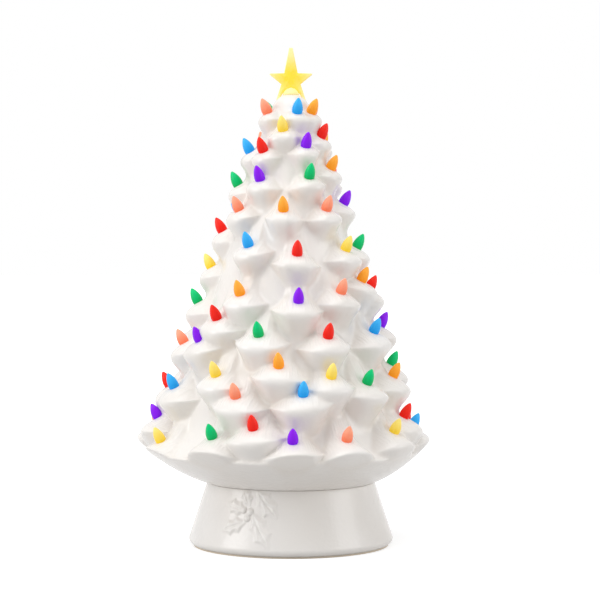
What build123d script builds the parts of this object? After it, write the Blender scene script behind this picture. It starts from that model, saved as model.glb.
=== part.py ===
from build123d import *
import os
from math import cos, hypot, radians, sin, tan

# A lit tabletop tree in white glazed earthenware, millimetres.
# Z is the tree's own axis, z = 0 the surface it stands on, and the front faces -Y.

# Foot pad and base
PAD_THICKNESS = 2.0
PAD_OVERLAP = 6.0            # how far the pad covers the edge of the plate
BASE_HEIGHT = 76.0
BASE_FOOT_RADIUS = 125.0
BASE_TOP_RADIUS = 103.0
BASE_WALL = 7.0
BASE_FOOT_BEVEL = 5.0
BASE_EDGE_BEVEL = 2.0
COLLAR_RADIUS = 86.0         # raised ring that centres the tree
COLLAR_WALL = 6.0
COLLAR_HEIGHT = 10.0
COLLAR_CLEARANCE = 1.0

# Tree shell
CAST_SIDES = 24              # flat sides that the casting's round forms are drawn with
SHELL_WALL = 6.0
BOUGH_WALL = 5.5
SEAT_ROUND = 1.0             # tree's seat ring stops this far inside the top of the base
SKIRT_RADIUS = 152.0         # knee of the smooth underside
SKIRT_RISE = 19.0
SKIRT_LIP_RADIUS = 200.0
SKIRT_LIP_RISE = 62.0
SKIRT_EDGE_RADIUS = 168.0    # edge of the skirt between the lowest boughs
SKIRT_EDGE_DEPTH = 16.0      # height of its sloping top
CORE_TOP_RADIUS = 18.5       # trunk cone between the boughs
CORE_TOP_RISE = 462.0
CORE_SLOPE = 0.28
TIP_TOP_RADIUS = 36.0        # cone that the bough tips lie on
TIP_SLOPE = 0.345
TIP_LEAN = 0.055             # share by which the boughs reach further on the left
NECK_SHOULDER_RADIUS = 16.5  # blunt dome on top of the trunk, under the star
NECK_SHOULDER_RISE = 4.5
NECK_TOP_RADIUS = 10.0
NECK_HEIGHT = 12.0

# Boughs
RIDGE_ANGLE = 27.0           # slope of a bough's top below level
UNDER_ANGLE = 53.0           # slope of its underside
BOUGH_SPREAD = 12.0          # half width of a rim, and what it gains with the tip's radius
BOUGH_SPREAD_GAIN = 0.12
NOSE_SHARE = 0.36            # half width of the blunt tip, to the half width of the rim
BOUGH_DROOP = 7.0            # corners of the rim hang this much below its tip
SHOULDER_SHARE = 0.3         # corners lie this share of the whole reach behind the tip
BOUGH_ROOT = 14.0            # how deep the root starts inside the trunk
POCKET_FROM_RADIUS = 90.0    # boughs larger than this are hollow
POCKET_SIDE_WALL = 8.0

# Bulbs
BULB_LENGTH = 22.0
BULB_RADIUS = 6.35
BULB_FOOT_RADIUS = 5.2
BULB_BELLY_HEIGHT = 7.0
BULB_SHOULDER_RADIUS = 4.4
BULB_SHOULDER_HEIGHT = 15.5
BULB_SIDES = 5
PEG_RADIUS = 3.1
PEG_LENGTH = 9.0
PEG_CLEARANCE = 0.25
HOLE_DEPTH = 24.0
SEAT_SETBACK = 9.0           # bulb seat behind the tip, and what it gains with the tip's radius
SEAT_SETBACK_GAIN = 0.058

# Star
STAR_TIP_RISE = 58.0         # all rises are above the top of the neck
STAR_WAIST_RADIUS = 8.5
STAR_WAIST_RISE = 29.0
STAR_ARM_RADIUS = 26.5
STAR_ARM_RISE = 25.5
STAR_HIP_RADIUS = 13.5
STAR_HIP_RISE = 12.5
STAR_LEG_RADIUS = 18.0
STAR_LEG_DROP = 7.0
STAR_ARCH_RADIUS = 11.5
STAR_ARCH_RISE = 7.0
STAR_EDGE = 2.4
STAR_CROWN = 3.2
STAR_HUB_RISE = 22.0
PLUG_RADIUS = 8.5
PLUG_HEIGHT = 8.0
STAR_PEG_RADIUS = 4.2
STAR_PEG_LENGTH = 18.0
STAR_PEG_CLEARANCE = 0.35

# Plate that closes the base and carries the light
PLATE_RADIUS = 98.0
PLATE_THICKNESS = 3.0
PLATE_CLEARANCE = 0.4
LIP_WIDTH = 4.0
LIP_THICKNESS = 5.0

# Battery well
CELL_RADIUS = 7.1
CELL_LENGTH = 50.0
CELL_NUB_RADIUS = 2.75
CELL_NUB_LENGTH = 1.5
CELL_COUNT = 3
CELL_CLEARANCE = 0.3
WELL_WALL = 2.0
WELL_GAP = 0.8               # between the battery well and the flange of the light post
CONTACT_THICKNESS = 0.5
CONTACT_WIDTH = 9.0
CONTACT_HEIGHT = 11.0
LEAF_DEPTH = 4.0
LEAF_PAD = 1.5
LEAF_TONGUE = 1.6

# Battery door
DOOR_THICKNESS = 2.4
DOOR_CLEARANCE = 0.4
DOOR_LEDGE = 1.5
BARREL_RADIUS = 1.6
BARREL_LENGTH = 40.0
BARREL_OFFSET = 2.0
BARREL_RISE = 1.8
HINGE_PIN_RADIUS = 1.0
HINGE_PIN_LENGTH = 3.0
HINGE_CLEARANCE = 0.25
HINGE_SLOT_MARGIN = 0.9
EAR_WIDTH = 4.0
EAR_HEIGHT = 2.4
FINGER_NOTCH_RADIUS = 7.0

# Switch
SWITCH_OFFSET = -58.0
SWITCH_TRAVEL = 5.0
KNOB_LENGTH = 4.0
KNOB_WIDTH = 3.4
KNOB_REACH = 1.0             # stands this much below the plate, clear of the table
KNOB_SHOE_LENGTH = 6.0
KNOB_SHOE_WIDTH = 5.0
KNOB_SHOE_HEIGHT = 2.0
KNOB_CLEARANCE = 0.3
SWITCH_WALL = 1.2

# Light post, board and diffuser
BOSS_RADIUS = 4.0
BOSS_HEIGHT = 6.0
BOSS_COUNT = 3
BOSS_CIRCLE = 19.0
PILOT_FLOOR = 1.0            # plate left under a screw's pilot hole
POST_FLANGE_RADIUS = 24.0
POST_FLANGE = 3.0
POST_RADIUS = 13.0
POST_WALL = 2.0
POST_HEIGHT = 46.0
POST_HEAD_RADIUS = 24.0
POST_WINDOW_WIDTH = 17.0
POST_WINDOW_HEIGHT = 14.0
POST_WINDOW_RISE = 12.0
SCREW_RADIUS = 1.3
SCREW_HEAD_RADIUS = 2.8
SCREW_HEAD_HEIGHT = 1.8
SCREW_LENGTH = 7.5
SCREW_CLEARANCE = 0.15
STUD_SIDES = 10              # flat sides that pegs, screws, bosses and their holes are drawn with
BOARD_RADIUS = 19.0
BOARD_THICKNESS = 1.6
LED_COUNT = 6
LED_CIRCLE = 12.0
LED_SIZE = 3.5
LED_HEIGHT = 1.8
DIFFUSER_WALL = 1.5
DIFFUSER_HEIGHT = 30.0
DIFFUSER_BEVEL = 12.0
DIFFUSER_GAP = 1.0
LEAD_RADIUS = 0.9
LEAD_SIDES = 6
LEAD_SPACING = 5.0
LEAD_BEND = 5.0
LEAD_LAY = 0.1              # room between a lead and the plate that it lies on
LEAD_DETOUR = 12.0

# Each tier: height of its rims above the seat, then its boughs as azimuth from the front in
# degrees (positive to the right), lift above the tier and bulb colour.
TIERS = (
    (444, ((-57, 0, "salmon"), (14, 0, "blue"), (55, 0, "orange"), (125, 0, "red"), (-130, 0, "green"))),
    (406, ((-80, -10, "blue"), (-42, -10, "red"), (-14, 16, "yellow"), (24, -4, "purple"),
           (68, 8, "red"), (118, 0, "orange"), (168, 0, "green"), (-135, 0, "salmon"))),
    (364, ((-92, -9, "green"), (-37, -3, "purple"), (23, 0, "green"), (70, 11, "orange"),
           (120, 0, "red"), (170, 0, "blue"), (-142, 0, "yellow"))),
    (326, ((-57, -2, "salmon"), (-7, -2, "orange"), (39, -1, "salmon"), (90, 6, "purple"),
           (137, 0, "yellow"), (-177, 0, "red"), (-117, 0, "blue"))),
    (278, ((-93, 20, "red"), (-35, 3, "blue"), (5, -7, "red"), (53, -2, "yellow"), (92, 0, "green"),
           (132, 0, "orange"), (172, 0, "purple"), (-118, -13, "orange"))),
    (245, ((-99, 8, "yellow"), (66, -7, "orange"), (116, 0, "green"), (152, 0, "red"), (-150, 0, "blue"))),
    (221, ((-92, -11, "green"), (-34, 2, "orange"), (5, -6, "purple"), (37, 4, "salmon"), (84, 6, "red"),
           (133, 0, "blue"), (172, 0, "yellow"), (-130, 0, "purple"))),
    (174, ((-108, 4, "blue"), (-86, -14, "salmon"), (-58, -8, "purple"), (-48, 19, "red"),
           (-18, 1, "green"), (22, -1, "red"), (62, 2, "blue"), (94, 7, "purple"), (135, 0, "yellow"),
           (175, 0, "orange"), (-145, 0, "red"))),
    (127, ((-39, 0, "yellow"), (-6, 12, "orange"), (21, -1, "yellow"), (73, -6, "orange"),
           (101, 4, "green"), (143, 0, "red"), (-176, 0, "purple"), (-116, 0, "salmon"))),
    (106, ((-92, 0, "red"), (-71, 2, "blue"), (-26, -3, "salmon"), (6, 0, "blue"), (43, 11, "green"),
           (122, 0, "yellow"), (162, 0, "purple"), (-156, 0, "orange"), (-133, 0, "green"))),
    (69, ((-88, -2, "purple"), (-16, -2, "red"), (71, 3, "red"), (127, 0, "salmon"),
          (-173, 0, "yellow"), (-140, 0, "blue"))),
    (53, ((-99, 5, "orange"), (-66, -9, "yellow"), (-34, 2, "green"), (1, -1, "purple"), (25, 0, "salmon"),
          (55, 4, "yellow"), (87, 3, "blue"), (110, 0, "red"), (142, 0, "green"), (171, 0, "orange"),
          (-157, 0, "purple"), (-123, 0, "red"))),
)

# Heights that follow
PLATE_BOTTOM = PAD_THICKNESS
PLATE_TOP = PLATE_BOTTOM + PLATE_THICKNESS
SEAT_Z = PAD_THICKNESS + BASE_HEIGHT
NECK_FOOT_Z = SEAT_Z + CORE_TOP_RISE
NECK_TOP_Z = NECK_FOOT_Z + NECK_HEIGHT
BORE_RADIUS = COLLAR_RADIUS + COLLAR_CLEARANCE
FLANGE_TOP = PLATE_TOP + BOSS_HEIGHT + POST_FLANGE
HEAD_TOP = FLANGE_TOP + POST_HEIGHT
BOARD_TOP = HEAD_TOP + BOARD_THICKNESS
DOOR_TOP = PLATE_BOTTOM + DOOR_THICKNESS

# Battery well, worked out from the cells
CELL_PITCH = 2 * CELL_RADIUS + CELL_CLEARANCE
CELL_Z = DOOR_TOP + CELL_CLEARANCE + CELL_RADIUS
WELL_LENGTH = CELL_LENGTH + CONTACT_THICKNESS + LEAF_DEPTH + 2 * CELL_CLEARANCE
WELL_WIDTH = CELL_COUNT * CELL_PITCH + CELL_CLEARANCE
WELL_ROOF = CELL_Z + CELL_RADIUS + CELL_CLEARANCE
CELL_X = (LEAF_DEPTH - CONTACT_THICKNESS) / 2
WELL_OFFSET = POST_FLANGE_RADIUS + WELL_GAP + WELL_WALL + WELL_WIDTH / 2
DOORWAY_LENGTH = WELL_LENGTH + 2 * DOOR_LEDGE
DOORWAY_WIDTH = WELL_WIDTH + 2 * DOOR_LEDGE
HINGE_Y = WELL_OFFSET + DOORWAY_WIDTH / 2 + BARREL_OFFSET
HINGE_Z = PLATE_BOTTOM + BARREL_RISE
HOUSING_LENGTH = KNOB_SHOE_LENGTH + SWITCH_TRAVEL + 2 * (KNOB_CLEARANCE + SWITCH_WALL)
HOUSING_TOP = PLATE_TOP + KNOB_SHOE_HEIGHT + 2 * KNOB_CLEARANCE + SWITCH_WALL


def revolved(*points):
    """Ring or bowl from a closed outline of radius and height."""
    outline = make_face(Polyline(*points, close=True))
    return revolve(Plane.XZ * outline, Axis.Z)


def facetted(*outline):
    """Solid of flat-sided frusta, one to each step of an outline of radius and height."""
    directions = [radians(360 / CAST_SIDES * i) for i in range(CAST_SIDES)]
    rings = [[(r * cos(a), r * sin(a), z) for a in directions] for r, z in outline]
    frusta = [ConvexPolyhedron(low + high) for low, high in zip(rings, rings[1:])]
    return frusta[0] + frusta[1:]


def block(x, y, z_low, length, width, z_high):
    """Upright box from z_low to z_high, centred on x, y."""
    low_centre = (Align.CENTER, Align.CENTER, Align.MIN)
    return Pos(x, y, z_low) * Box(length, width, z_high - z_low, align=low_centre)


def drum(radius, z_low, z_high, x=0, y=0):
    """Upright cylinder from z_low to z_high."""
    low_centre = (Align.CENTER, Align.CENTER, Align.MIN)
    return Pos(x, y, z_low) * Cylinder(radius, z_high - z_low, align=low_centre)


def stud(radius, z_low, z_high):
    """Upright few-sided cylinder from z_low to z_high."""
    return extrude(Pos(0, 0, z_low) * RegularPolygon(radius, STUD_SIDES), z_high - z_low)


def tip_radius(height, azimuth):
    """Radius of the bough tips at a height; the casting leans out to its left."""
    cone = TIP_TOP_RADIUS + (NECK_FOOT_Z - height) * TIP_SLOPE
    return cone * (1 - TIP_LEAN * sin(radians(azimuth)))


def core_radius(height):
    """Radius of the trunk cone at a height."""
    return CORE_TOP_RADIUS + (NECK_FOOT_Z - height) * CORE_SLOPE


def all_boughs():
    """Tip height, azimuth and bulb colour of every bough."""
    for rise, boughs in TIERS:
        for azimuth, lift, colour in boughs:
            yield SEAT_Z + rise + lift, azimuth, colour


def facing(azimuth):
    """Turn that brings the +X direction to an azimuth measured from the front, -Y."""
    return Rot(0, 0, azimuth - 90)


def tent(tip, height, root, half_width, nose):
    """Bough pointing along +X: a sloping roof with drooping corners over a raked underside."""
    reach = tip - root
    ridge = reach * tan(radians(RIDGE_ANGLE))
    under = reach * tan(radians(UNDER_ANGLE))
    shoulder = tip - reach * SHOULDER_SHARE
    points = []
    for side in (-1, 1):
        points.append((root, side * nose, height + ridge))
        points.append((root, side * half_width, height - BOUGH_DROOP))
        points.append((shoulder, side * half_width, height - BOUGH_DROOP))
        points.append((root, side * half_width / 2, height - under))
        points.append((tip, side * nose, height))
    return ConvexPolyhedron(points)


def bough(height, azimuth):
    """Whole bough from inside the trunk to its tip."""
    tip = tip_radius(height, azimuth)
    half_width = BOUGH_SPREAD + BOUGH_SPREAD_GAIN * tip
    root = core_radius(height) - BOUGH_ROOT
    return facing(azimuth) * tent(tip, height, root, half_width, half_width * NOSE_SHARE)


def pocket(height, azimuth):
    """Hollow of a bough: the same tent, one wall inside its roof and underside."""
    tip = tip_radius(height, azimuth)
    half_width = BOUGH_SPREAD + BOUGH_SPREAD_GAIN * tip
    roof_drop = BOUGH_WALL / cos(radians(RIDGE_ANGLE))
    floor_lift = BOUGH_WALL / cos(radians(UNDER_ANGLE))
    pull = (roof_drop + floor_lift) / (tan(radians(RIDGE_ANGLE)) + tan(radians(UNDER_ANGLE)))
    sink = roof_drop - pull * tan(radians(RIDGE_ANGLE))
    root = core_radius(height) - SHELL_WALL - BOUGH_ROOT
    inner_width = half_width - POCKET_SIDE_WALL
    return facing(azimuth) * tent(tip - pull, height - sink, root, inner_width, inner_width * NOSE_SHARE)


def bulb_seat(height, azimuth):
    """Frame on a bough's roof: its origin is the hole and its Z the axis of the bulb."""
    tip = tip_radius(height, azimuth)
    setback = SEAT_SETBACK + SEAT_SETBACK_GAIN * tip
    rise = setback * tan(radians(RIDGE_ANGLE))
    return facing(azimuth) * Pos(tip - setback, 0, height + rise) * Rot(0, RIDGE_ANGLE, 0)


def bulb_hole():
    """Hole for a bulb's peg, through the bough's wall."""
    outline = RegularPolygon(PEG_RADIUS + PEG_CLEARANCE, BULB_SIDES)
    return extrude(Pos(0, 0, -HOLE_DEPTH) * outline, HOLE_DEPTH + BULB_FOOT_RADIUS)


def bulb():
    """Flame-shaped bulb on a peg, drawn with few sides because there are so many."""
    rings = (
        (BULB_FOOT_RADIUS, 0),
        (BULB_RADIUS, BULB_BELLY_HEIGHT),
        (BULB_SHOULDER_RADIUS, BULB_SHOULDER_HEIGHT),
    )
    points = [(0, 0, BULB_LENGTH)]
    for r, z in rings:
        points += [(v.X, v.Y, z) for v in RegularPolygon(r, BULB_SIDES).vertices()]
    peg = extrude(Pos(0, 0, -PEG_LENGTH) * RegularPolygon(PEG_RADIUS, BULB_SIDES), PEG_LENGTH)
    return ConvexPolyhedron(points) + peg


def below_bowl(lift):
    """Room below the smooth bowl under the lowest boughs, raised by a wall for the hollow."""
    seat = (BASE_TOP_RADIUS - SEAT_ROUND, SEAT_Z + lift)
    knee = (SKIRT_RADIUS, SEAT_Z + SKIRT_RISE + lift)
    lip = (SKIRT_LIP_RADIUS, SEAT_Z + SKIRT_LIP_RISE + lift)
    return facetted((SKIRT_LIP_RADIUS, 0), lip) - facetted(seat, knee, lip)


def make_tree_shell():
    """One hollow casting: trunk cone, boughs, smooth underside, bulb holes and the star's hole."""
    seat_radius = BASE_TOP_RADIUS - SEAT_ROUND
    knee_z = SEAT_Z + SKIRT_RISE
    low_z = knee_z + BOUGH_ROOT
    lip_slope = (SKIRT_LIP_RISE - SKIRT_RISE) / (SKIRT_LIP_RADIUS - SKIRT_RADIUS)
    edge_z = knee_z + (SKIRT_EDGE_RADIUS - SKIRT_RADIUS) * lip_slope
    above_z = edge_z + SKIRT_EDGE_DEPTH
    floor_z = SEAT_Z + SHELL_WALL
    ceiling_z = NECK_FOOT_Z - SHELL_WALL
    trunk = facetted(
        (seat_radius, SEAT_Z),
        (SKIRT_RADIUS, knee_z),
        (SKIRT_EDGE_RADIUS, edge_z),
        (core_radius(above_z), above_z),
        (CORE_TOP_RADIUS, NECK_FOOT_Z),
        (NECK_SHOULDER_RADIUS, NECK_FOOT_Z + NECK_SHOULDER_RISE),
        (NECK_TOP_RADIUS, NECK_TOP_Z),
    )
    hollow = facetted(
        (seat_radius, floor_z),
        (SKIRT_RADIUS - SHELL_WALL, knee_z + SHELL_WALL),
        (core_radius(low_z) - SHELL_WALL, low_z + SHELL_WALL),
        (CORE_TOP_RADIUS - SHELL_WALL, ceiling_z),
    )
    mouth = facetted((BORE_RADIUS, SEAT_Z), (BORE_RADIUS, floor_z))
    boughs = [bough(height, azimuth) for height, azimuth, _ in all_boughs()]
    big = [(h, a) for h, a, _ in all_boughs() if tip_radius(h, a) > POCKET_FROM_RADIUS]
    pockets = [pocket(height, azimuth) for height, azimuth in big]
    holes = [bulb_seat(height, azimuth) * bulb_hole() for height, azimuth, _ in all_boughs()]
    star_hole = stud(STAR_PEG_RADIUS + STAR_PEG_CLEARANCE, ceiling_z - SHELL_WALL, NECK_TOP_Z)
    inside = (hollow + pockets) - below_bowl(SHELL_WALL) + mouth
    return (trunk + boughs) - below_bowl(0) - inside - holes - star_hole


def make_bulbs(colour):
    """All bulbs of one colour, each seated in its own bough."""
    one = bulb()
    seats = [bulb_seat(height, azimuth) for height, azimuth, c in all_boughs() if c == colour]
    return Compound(children=[seat * one for seat in seats])


def make_star():
    """Five-pointed star with a crowned front and back, astride a plug in the neck."""
    side = (
        (STAR_WAIST_RADIUS, STAR_WAIST_RISE),
        (STAR_ARM_RADIUS, STAR_ARM_RISE),
        (STAR_HIP_RADIUS, STAR_HIP_RISE),
        (STAR_LEG_RADIUS, -STAR_LEG_DROP),
        (STAR_ARCH_RADIUS, 0),
    )
    points = [(0, STAR_TIP_RISE), *side, (0, STAR_ARCH_RISE)]
    points += [(-x, z) for x, z in reversed(side)]
    outline = Plane.XZ * make_face(Polyline(*points, close=True))
    plate = extrude(outline, STAR_EDGE / 2, both=True)
    front = loft([Pos(0, -STAR_EDGE / 2, 0) * outline, Vertex(0, -STAR_EDGE / 2 - STAR_CROWN, STAR_HUB_RISE)])
    back = loft([Pos(0, STAR_EDGE / 2, 0) * outline, Vertex(0, STAR_EDGE / 2 + STAR_CROWN, STAR_HUB_RISE)])
    plug = Cone(PLUG_RADIUS, PLUG_RADIUS / 2, PLUG_HEIGHT, align=(Align.CENTER, Align.CENTER, Align.MIN))
    peg = stud(STAR_PEG_RADIUS, -STAR_PEG_LENGTH, 0)
    return Pos(0, 0, NECK_TOP_Z) * (plate + front + back + plug + peg)


def corner(outline, radius, height):
    """Corner of a flat outline nearest to a radius and height."""
    return outline.vertices().sort_by_distance((radius, height, 0))[0]


def make_base():
    """Flared pedestal with a collar for the tree above and a rebate for the plate below."""
    foot_z = PAD_THICKNESS
    rebate_z = foot_z + PLATE_THICKNESS
    lip_z = rebate_z + LIP_THICKNESS
    rebate_radius = PLATE_RADIUS + PLATE_CLEARANCE
    lip_radius = PLATE_RADIUS - LIP_WIDTH
    collar_inner = COLLAR_RADIUS - COLLAR_WALL
    collar_z = SEAT_Z + COLLAR_HEIGHT
    shoulder_z = SEAT_Z - BASE_WALL
    outline = make_face(Polyline(
        (BASE_FOOT_RADIUS, foot_z), (BASE_TOP_RADIUS, SEAT_Z), (COLLAR_RADIUS, SEAT_Z),
        (COLLAR_RADIUS, collar_z), (collar_inner, collar_z), (collar_inner, shoulder_z),
        (BASE_TOP_RADIUS - BASE_WALL, shoulder_z), (BASE_FOOT_RADIUS - BASE_WALL, lip_z),
        (lip_radius, lip_z), (lip_radius, rebate_z), (rebate_radius, rebate_z), (rebate_radius, foot_z),
        close=True,
    ))
    outline = chamfer(corner(outline, BASE_FOOT_RADIUS, foot_z), BASE_FOOT_BEVEL)
    outline = chamfer(corner(outline, BASE_TOP_RADIUS, SEAT_Z), BASE_EDGE_BEVEL)
    return revolve(Plane.XZ * outline, Axis.Z)


def make_foot_pad():
    """Ring under the foot that overlaps the plate's edge and holds it in its rebate."""
    inner = PLATE_RADIUS - PAD_OVERLAP
    outer = BASE_FOOT_RADIUS - BASE_FOOT_BEVEL
    return drum(outer, 0, PAD_THICKNESS) - drum(inner, 0, PAD_THICKNESS)


def hinge_pins(radius, length):
    """Pair of stub pins on the hinge line, from inside the barrel outwards."""
    pin = Rot(0, 90, 0) * Cylinder(radius, BARREL_LENGTH + 2 * length)
    return Pos(0, HINGE_Y, HINGE_Z) * pin


def boss_places():
    """Places of the screws round the post."""
    return [Rot(0, 0, i * 360 / BOSS_COUNT - 90) * Pos(BOSS_CIRCLE, 0, 0) for i in range(BOSS_COUNT)]


def make_base_plate():
    """Moulded plate with the battery well, its doorway and hinge ears, and the post's bosses."""
    plate = drum(PLATE_RADIUS, PLATE_BOTTOM, PLATE_TOP)
    outer_length = WELL_LENGTH + 2 * WELL_WALL
    outer_width = WELL_WIDTH + 2 * WELL_WALL
    plate += block(0, WELL_OFFSET, PLATE_BOTTOM, outer_length, outer_width, WELL_ROOF + WELL_WALL)
    plate -= block(0, WELL_OFFSET, PLATE_BOTTOM, WELL_LENGTH, WELL_WIDTH, WELL_ROOF)
    plate -= block(0, WELL_OFFSET, PLATE_BOTTOM, DOORWAY_LENGTH, DOORWAY_WIDTH, DOOR_TOP)
    slot_edge = HINGE_Y + BARREL_RISE + HINGE_SLOT_MARGIN
    slot_start = WELL_OFFSET + WELL_WIDTH / 2 + WELL_WALL
    slot_length = BARREL_LENGTH + 2 * HINGE_CLEARANCE
    slot_middle = (slot_start + slot_edge) / 2
    plate -= block(0, slot_middle, PLATE_BOTTOM, slot_length, slot_edge - slot_start, PLATE_TOP)
    tongue_way = slot_edge - WELL_OFFSET
    plate -= block(0, WELL_OFFSET + tongue_way / 2, PLATE_BOTTOM, slot_length, tongue_way, DOOR_TOP)
    for side in (-1, 1):
        ear_x = side * (slot_length + EAR_WIDTH) / 2
        plate += block(ear_x, HINGE_Y, PLATE_BOTTOM, EAR_WIDTH, 2 * BARREL_OFFSET, PLATE_TOP + EAR_HEIGHT)
    plate -= hinge_pins(HINGE_PIN_RADIUS + HINGE_CLEARANCE, HINGE_PIN_LENGTH + HINGE_CLEARANCE)
    slot_x = KNOB_LENGTH + SWITCH_TRAVEL + 2 * KNOB_CLEARANCE
    slot_y = KNOB_WIDTH + 2 * KNOB_CLEARANCE
    plate -= block(0, SWITCH_OFFSET, PLATE_BOTTOM, slot_x, slot_y, PLATE_TOP)
    for place in boss_places():
        plate += place * stud(BOSS_RADIUS, PLATE_TOP, PLATE_TOP + BOSS_HEIGHT)
        pilot_z = PLATE_BOTTOM + PILOT_FLOOR
        plate -= place * stud(SCREW_RADIUS + SCREW_CLEARANCE, pilot_z, PLATE_TOP + BOSS_HEIGHT)
    return plate


def make_battery_door():
    """Flush door with a tongue to its hinge barrel, room to swing and a finger notch."""
    length = DOORWAY_LENGTH - 2 * DOOR_CLEARANCE
    swing = hypot(BARREL_OFFSET, BARREL_RISE) - BARREL_OFFSET
    free_edge = WELL_OFFSET - DOORWAY_WIDTH / 2 + DOOR_CLEARANCE
    hinge_edge = WELL_OFFSET + DOORWAY_WIDTH / 2 - DOOR_CLEARANCE - swing
    middle = (free_edge + hinge_edge) / 2
    door = block(0, middle, PLATE_BOTTOM, length, hinge_edge - free_edge, DOOR_TOP)
    tongue_width = HINGE_Y - WELL_OFFSET
    door += block(0, WELL_OFFSET + tongue_width / 2, PLATE_BOTTOM, BARREL_LENGTH, tongue_width, DOOR_TOP)
    door += Pos(0, HINGE_Y, HINGE_Z) * Rot(0, 90, 0) * Cylinder(BARREL_RADIUS, BARREL_LENGTH)
    door += hinge_pins(HINGE_PIN_RADIUS, HINGE_PIN_LENGTH)
    return door - drum(FINGER_NOTCH_RADIUS, PLATE_BOTTOM, PLATE_BOTTOM + DOOR_THICKNESS / 2, 0, free_edge)


def cell_place(index):
    """Middle of a cell, with its nub at the +X end or, every second cell, at the -X end."""
    y = WELL_OFFSET + (index - (CELL_COUNT - 1) / 2) * CELL_PITCH
    return Pos(CELL_X * (-1) ** index, y, CELL_Z) * Rot(0, 0, 180 * (index % 2))


def make_battery(index):
    """Cylindrical cell with its nub."""
    can_length = CELL_LENGTH - CELL_NUB_LENGTH
    can = Pos(-CELL_NUB_LENGTH / 2, 0, 0) * Rot(0, 90, 0) * Cylinder(CELL_RADIUS, can_length)
    nub = Pos(can_length / 2, 0, 0) * Rot(0, 90, 0) * Cylinder(CELL_NUB_RADIUS, CELL_NUB_LENGTH)
    return cell_place(index) * (can + nub)


def make_plate_contacts():
    """Flat contacts against the nubs, one to a cell."""
    contact = Box(CONTACT_THICKNESS, CONTACT_WIDTH, CONTACT_HEIGHT)
    middle = WELL_LENGTH / 2 - CELL_X - CONTACT_THICKNESS / 2
    return Compound(children=[cell_place(i) * Pos(middle, 0, 0) * contact for i in range(CELL_COUNT)])


def make_leaf_contacts():
    """Bent springs against the flat ends of the cells, one to a cell."""
    top = CONTACT_HEIGHT / 2
    tongue_root = top - LEAF_TONGUE
    strip = make_face(Polyline(
        (0, -top), (0, top), (CONTACT_THICKNESS, top),
        (LEAF_DEPTH, LEAF_PAD), (LEAF_DEPTH, -LEAF_PAD), (LEAF_DEPTH - CONTACT_THICKNESS, -LEAF_PAD),
        (LEAF_DEPTH - CONTACT_THICKNESS, LEAF_PAD - CONTACT_THICKNESS),
        (CONTACT_THICKNESS, tongue_root), (CONTACT_THICKNESS, -top),
        close=True,
    ))
    leaf = extrude(Plane.XZ * strip, CONTACT_WIDTH / 2, both=True)
    wall = -WELL_LENGTH / 2 - CELL_X
    return Compound(children=[cell_place(i) * Pos(wall, 0, 0) * leaf for i in range(CELL_COUNT)])


def make_switch_housing():
    """Cover that keeps the knob's shoe on the plate."""
    inner_length = KNOB_SHOE_LENGTH + SWITCH_TRAVEL + 2 * KNOB_CLEARANCE
    inner_width = KNOB_SHOE_WIDTH + 2 * KNOB_CLEARANCE
    roof = PLATE_TOP + KNOB_SHOE_HEIGHT + 2 * KNOB_CLEARANCE
    outer = block(0, SWITCH_OFFSET, PLATE_TOP, HOUSING_LENGTH, inner_width + 2 * SWITCH_WALL, HOUSING_TOP)
    return outer - block(0, SWITCH_OFFSET, PLATE_TOP, inner_length, inner_width, roof)


def make_switch_knob():
    """Sliding thumb tab, drawn at its off end."""
    x = -SWITCH_TRAVEL / 2
    shoe_z = PLATE_TOP + KNOB_CLEARANCE
    shoe = block(x, SWITCH_OFFSET, shoe_z, KNOB_SHOE_LENGTH, KNOB_SHOE_WIDTH, shoe_z + KNOB_SHOE_HEIGHT)
    return shoe + block(x, SWITCH_OFFSET, PLATE_BOTTOM - KNOB_REACH, KNOB_LENGTH, KNOB_WIDTH, shoe_z)


def make_light_post():
    """Hollow post on the plate's bosses, with a head for the board and windows for the leads."""
    bore = POST_RADIUS - POST_WALL
    flange_z = FLANGE_TOP - POST_FLANGE
    post = drum(POST_FLANGE_RADIUS, flange_z, FLANGE_TOP)
    post += drum(POST_RADIUS, FLANGE_TOP, HEAD_TOP)
    post += drum(POST_HEAD_RADIUS, HEAD_TOP - POST_FLANGE, HEAD_TOP)
    post -= drum(bore, flange_z, HEAD_TOP)
    window_z = FLANGE_TOP + POST_WINDOW_RISE
    post -= block(0, 0, window_z, POST_WINDOW_WIDTH, 2 * POST_RADIUS, window_z + POST_WINDOW_HEIGHT)
    for place in boss_places():
        post -= place * stud(SCREW_RADIUS + SCREW_CLEARANCE, flange_z, FLANGE_TOP)
    return post


def make_post_screws():
    """Screws that hold the post down on its bosses."""
    screw = stud(SCREW_HEAD_RADIUS, FLANGE_TOP, FLANGE_TOP + SCREW_HEAD_HEIGHT)
    screw += stud(SCREW_RADIUS, FLANGE_TOP - SCREW_LENGTH, FLANGE_TOP)
    return Compound(children=[place * screw for place in boss_places()])


def make_led_board():
    """Round board on the post's head."""
    return drum(BOARD_RADIUS, HEAD_TOP, BOARD_TOP)


def make_leds():
    """Ring of chips on the board."""
    led = block(LED_CIRCLE, 0, BOARD_TOP, LED_SIZE, LED_SIZE, BOARD_TOP + LED_HEIGHT)
    return Compound(children=[Rot(0, 0, i * 360 / LED_COUNT) * led for i in range(LED_COUNT)])


def make_diffuser():
    """Frosted cap over the board, a wall of even thickness with a bevelled crown."""
    outer = BOARD_RADIUS + DIFFUSER_GAP + DIFFUSER_WALL
    inner = outer - DIFFUSER_WALL
    top = HEAD_TOP + DIFFUSER_HEIGHT
    ceiling = top - DIFFUSER_WALL
    bevel = DIFFUSER_BEVEL - DIFFUSER_WALL
    return revolved(
        (inner, HEAD_TOP), (outer, HEAD_TOP), (outer, top - DIFFUSER_BEVEL), (outer - DIFFUSER_BEVEL, top),
        (0, top), (0, ceiling), (inner - bevel, ceiling), (inner, ceiling - bevel),
    )


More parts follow.
